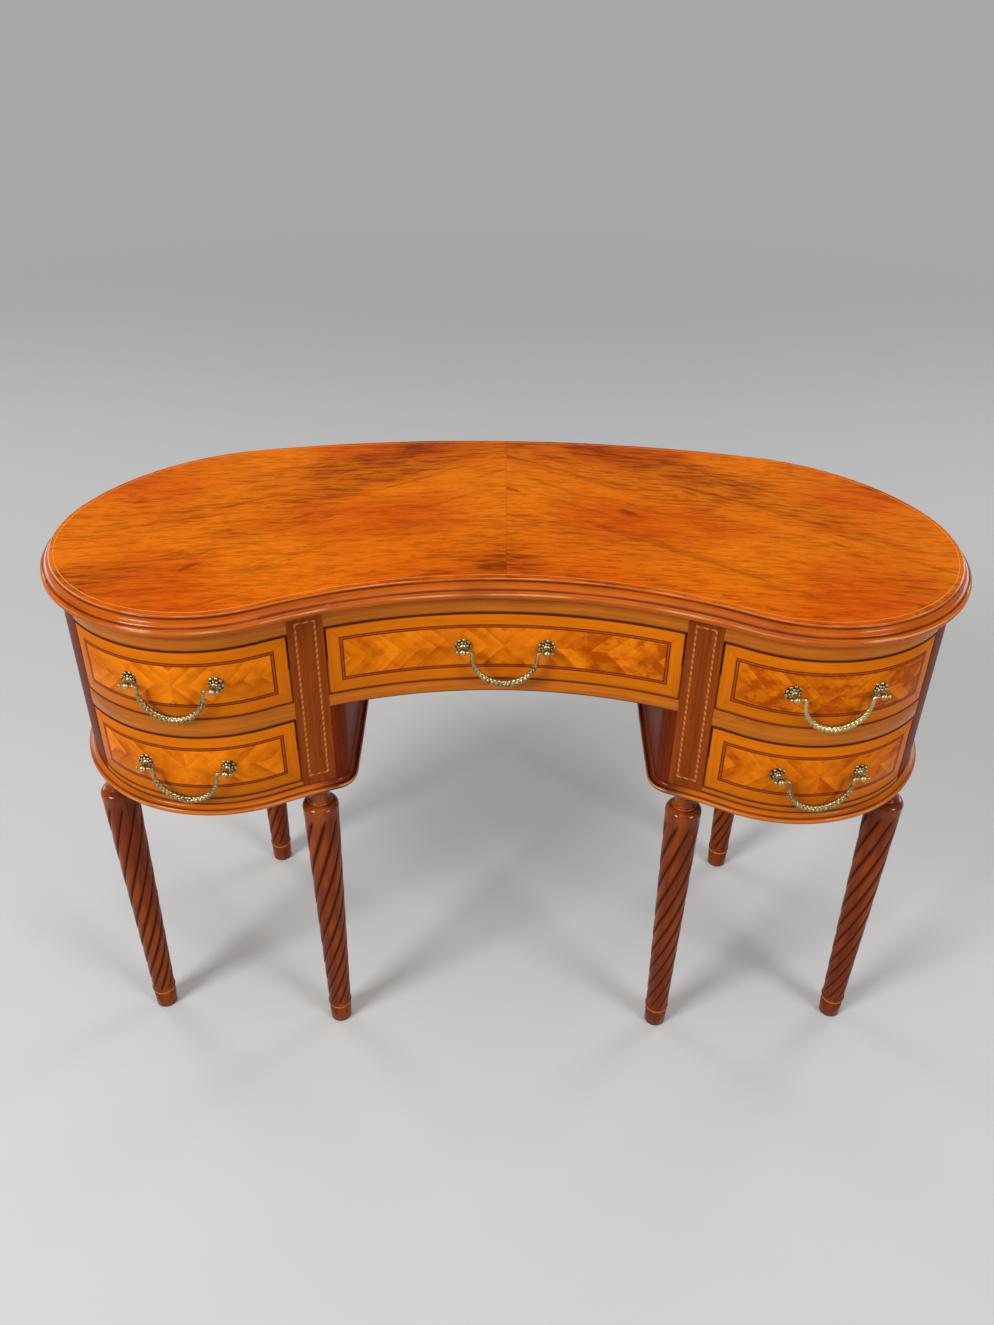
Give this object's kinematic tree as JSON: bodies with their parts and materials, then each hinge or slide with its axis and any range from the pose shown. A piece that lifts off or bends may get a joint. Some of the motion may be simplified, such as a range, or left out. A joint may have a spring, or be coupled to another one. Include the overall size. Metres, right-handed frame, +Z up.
{
  "type": "kidney-shaped pedestal writing desk",
  "caption": "Kidney-shaped writing desk on two drawer pedestals with turned legs, bow-fronted drawers, swinging bail handles and an open kneehole.",
  "frame": {"origin": "on the floor, under the middle of the top", "axes": "+X to the right as the sitter faces the desk, +Y to the back of the desk, +Z up"},
  "size_m": [1.15, 0.4999, 0.76],
  "materials": {
    "satinwood_top": "figured satinwood veneer, French polished",
    "satinwood_front": "feather-figured satinwood veneer, French polished",
    "satinwood_rail": "plain satinwood, polished",
    "edge_moulding": "moulded hardwood, polished",
    "mahogany": "mahogany, polished",
    "leg_mahogany": "turned mahogany, polished",
    "light_line": "pale stringing, polished",
    "lining_wood": "plain lining wood, waxed",
    "antique_brass": "cast brass with dark patina",
    "steel": "plain steel screws"
  },
  "bodies": {
    "carcass": {"back_apron": "mahogany", "centre_bottom_rail": "satinwood_rail", "centre_partitions": "lining_wood", "centre_top_rail": "satinwood_rail", "drawer_runners": "lining_wood", "left_base_moulding": "satinwood_rail", "left_base_rail": "satinwood_rail", "left_bottom_board": "lining_wood", "left_dust_board": "lining_wood", "left_inner_front_leg": "leg_mahogany", "left_inner_panel": "mahogany", "left_inner_stile": "mahogany", "left_mid_rail": "satinwood_rail", "left_outer_front_leg": "leg_mahogany", "left_outer_stile": "mahogany", "left_rear_leg": "leg_mahogany", "left_rear_post": "mahogany", "left_side_panel": "mahogany", "left_top_rail": "satinwood_rail", "right_base_moulding": "satinwood_rail", "right_base_rail": "satinwood_rail", "right_bottom_board": "lining_wood", "right_dust_board": "lining_wood", "right_inner_front_leg": "leg_mahogany", "right_inner_panel": "mahogany", "right_inner_stile": "mahogany", "right_mid_rail": "satinwood_rail", "right_outer_front_leg": "leg_mahogany", "right_outer_stile": "mahogany", "right_rear_leg": "leg_mahogany", "right_rear_post": "mahogany", "right_side_panel": "mahogany", "right_top_rail": "satinwood_rail", "stile_inlays": "light_line", "top_board": "lining_wood", "top_edge_moulding": "edge_moulding", "top_line": "light_line", "top_screws": "steel", "top_veneer_left": "satinwood_top", "top_veneer_right": "satinwood_top"},
    "left_upper_drawer": {"left_upper_drawer_front": "satinwood_front", "left_upper_drawer_box": "lining_wood", "left_upper_drawer_handle_posts": "antique_brass"},
    "left_upper_bail": {"left_upper_drawer_bail": "antique_brass"},
    "left_lower_drawer": {"left_lower_drawer_front": "satinwood_front", "left_lower_drawer_box": "lining_wood", "left_lower_drawer_handle_posts": "antique_brass"},
    "left_lower_bail": {"left_lower_drawer_bail": "antique_brass"},
    "right_upper_drawer": {"right_upper_drawer_front": "satinwood_front", "right_upper_drawer_box": "lining_wood", "right_upper_drawer_handle_posts": "antique_brass"},
    "right_upper_bail": {"right_upper_drawer_bail": "antique_brass"},
    "right_lower_drawer": {"right_lower_drawer_front": "satinwood_front", "right_lower_drawer_box": "lining_wood", "right_lower_drawer_handle_posts": "antique_brass"},
    "right_lower_bail": {"right_lower_drawer_bail": "antique_brass"},
    "centre_drawer": {"centre_drawer_front": "satinwood_front", "centre_drawer_box": "lining_wood", "centre_drawer_handle_posts": "antique_brass"},
    "centre_bail": {"centre_drawer_bail": "antique_brass"}
  },
  "joints": [
    {"name": "left_upper_drawer_slide", "type": "slide", "parent": "carcass", "child": "left_upper_drawer", "axis": [0, -1, 0], "range_m": [0, 0.17]},
    {"name": "left_upper_bail_swing", "type": "hinge", "parent": "left_upper_drawer", "child": "left_upper_bail", "pos_m": [-0.39066, -0.23988, 0.65975], "axis": [-0.9958, 0.0916, 0], "range_deg": [0, 90]},
    {"name": "left_lower_drawer_slide", "type": "slide", "parent": "carcass", "child": "left_lower_drawer", "axis": [0, -1, 0], "range_m": [0, 0.17]},
    {"name": "left_lower_bail_swing", "type": "hinge", "parent": "left_lower_drawer", "child": "left_lower_bail", "pos_m": [-0.39066, -0.23988, 0.53425], "axis": [-0.9958, 0.0916, 0], "range_deg": [0, 90]},
    {"name": "right_upper_drawer_slide", "type": "slide", "parent": "carcass", "child": "right_upper_drawer", "axis": [0, -1, 0], "range_m": [0, 0.17]},
    {"name": "right_upper_bail_swing", "type": "hinge", "parent": "right_upper_drawer", "child": "right_upper_bail", "pos_m": [0.39066, -0.23988, 0.65975], "axis": [-0.9958, -0.0916, 0], "range_deg": [0, 90]},
    {"name": "right_lower_drawer_slide", "type": "slide", "parent": "carcass", "child": "right_lower_drawer", "axis": [0, -1, 0], "range_m": [0, 0.17]},
    {"name": "right_lower_bail_swing", "type": "hinge", "parent": "right_lower_drawer", "child": "right_lower_bail", "pos_m": [0.39066, -0.23988, 0.53425], "axis": [-0.9958, -0.0916, 0], "range_deg": [0, 90]},
    {"name": "centre_drawer_slide", "type": "slide", "parent": "carcass", "child": "centre_drawer", "axis": [0, -1, 0], "range_m": [0, 0.19]},
    {"name": "centre_bail_swing", "type": "hinge", "parent": "centre_drawer", "child": "centre_bail", "pos_m": [0, -0.15718, 0.65975], "axis": [-1, 0, 0], "range_deg": [0, 90]}
  ]
}
